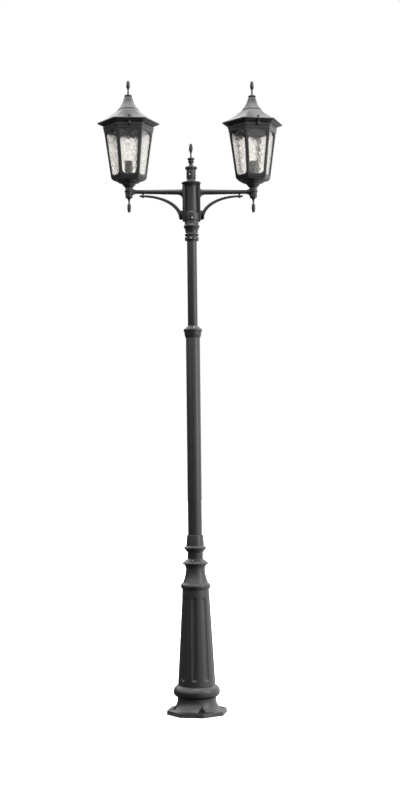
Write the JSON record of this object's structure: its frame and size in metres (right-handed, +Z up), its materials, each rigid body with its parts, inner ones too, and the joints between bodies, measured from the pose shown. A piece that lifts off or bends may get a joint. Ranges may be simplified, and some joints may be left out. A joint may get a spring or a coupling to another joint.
{
  "type": "street lamp post",
  "caption": "Twin-lantern street lamp post: octagonal cast foot, fluted column, two-stage round pole, straight arms with curved braces, and six-sided glazed lanterns with hinged roofs.",
  "frame": {"origin": "centre of the foot plate's underside, on the pole's centre line", "axes": "+Z up along the pole, the two arms along X, the roof hinges towards +Y"},
  "size_m": [0.7998, 0.2588, 2.697],
  "materials": {
    "casting_coat": "satin black powder coat over sand-cast aluminium",
    "pole_coat": "satin black powder coat over drawn tube",
    "black_screw": "black oxide",
    "stainless": "plain stainless steel",
    "zinc_plate": "bright zinc plate",
    "water_glass": "clear rippled glass",
    "porcelain": "glazed porcelain",
    "brass_shell": "plain",
    "seal_rubber": "matt",
    "cable_sheath": "matt sheath"
  },
  "bodies": {
    "post": {"foot_casting": "casting_coat", "fluted_column": "casting_coat", "bell_casting": "casting_coat", "pole_sleeve": "casting_coat", "tie_rods": "zinc_plate", "tie_nuts": "zinc_plate", "lower_pole": "pole_coat", "joint_bush": "zinc_plate", "joint_collar": "casting_coat", "upper_pole": "pole_coat", "capital_collar": "casting_coat", "capital_casting": "casting_coat", "set_screws": "stainless", "hub_casting": "casting_coat", "hub_cover": "casting_coat", "top_tube": "casting_coat", "top_cap": "casting_coat", "top_finial": "casting_coat", "left_arm": "casting_coat", "right_arm": "casting_coat", "arm_bolts": "stainless", "left_brace": "casting_coat", "right_brace": "casting_coat", "brace_studs": "casting_coat", "drop_finials": "casting_coat", "terminal_block": "porcelain", "left_arm_lead": "cable_sheath", "right_arm_lead": "cable_sheath"},
    "left_lantern": {"left_stem": "zinc_plate", "left_bowl": "casting_coat", "left_tray": "zinc_plate", "left_cage": "casting_coat", "left_glass": "water_glass", "left_pane_clips": "zinc_plate", "left_lamp_holder": "porcelain", "left_lamp_shell": "brass_shell", "left_stem_lead": "cable_sheath", "left_hinge_pin": "stainless"},
    "left_hood": {"left_roof": "casting_coat", "left_roof_cone": "casting_coat", "left_roof_seal": "seal_rubber", "left_roof_finial": "casting_coat", "left_catch_screw": "black_screw"},
    "right_lantern": {"right_stem": "zinc_plate", "right_bowl": "casting_coat", "right_tray": "zinc_plate", "right_cage": "casting_coat", "right_glass": "water_glass", "right_pane_clips": "zinc_plate", "right_lamp_holder": "porcelain", "right_lamp_shell": "brass_shell", "right_stem_lead": "cable_sheath", "right_hinge_pin": "stainless"},
    "right_hood": {"right_roof": "casting_coat", "right_roof_cone": "casting_coat", "right_roof_seal": "seal_rubber", "right_roof_finial": "casting_coat", "right_catch_screw": "black_screw"}
  },
  "joints": [
    {"name": "left_lantern_turn", "type": "hinge", "parent": "post", "child": "left_lantern", "pos_m": [-0.267, 0, 2.214], "axis": [0, 0, 1], "range_deg": [-170, 170]},
    {"name": "left_roof_hinge", "type": "hinge", "parent": "left_lantern", "child": "left_hood", "pos_m": [-0.27059, 0.10294, 2.493], "axis": [-0.9994, -0.0349, 0], "range_deg": [0, 100]},
    {"name": "right_lantern_turn", "type": "hinge", "parent": "post", "child": "right_lantern", "pos_m": [0.267, 0, 2.214], "axis": [0, 0, 1], "range_deg": [-170, 170]},
    {"name": "right_roof_hinge", "type": "hinge", "parent": "right_lantern", "child": "right_hood", "pos_m": [0.25178, 0.10187, 2.493], "axis": [-0.989, -0.1478, 0], "range_deg": [0, 100]}
  ]
}
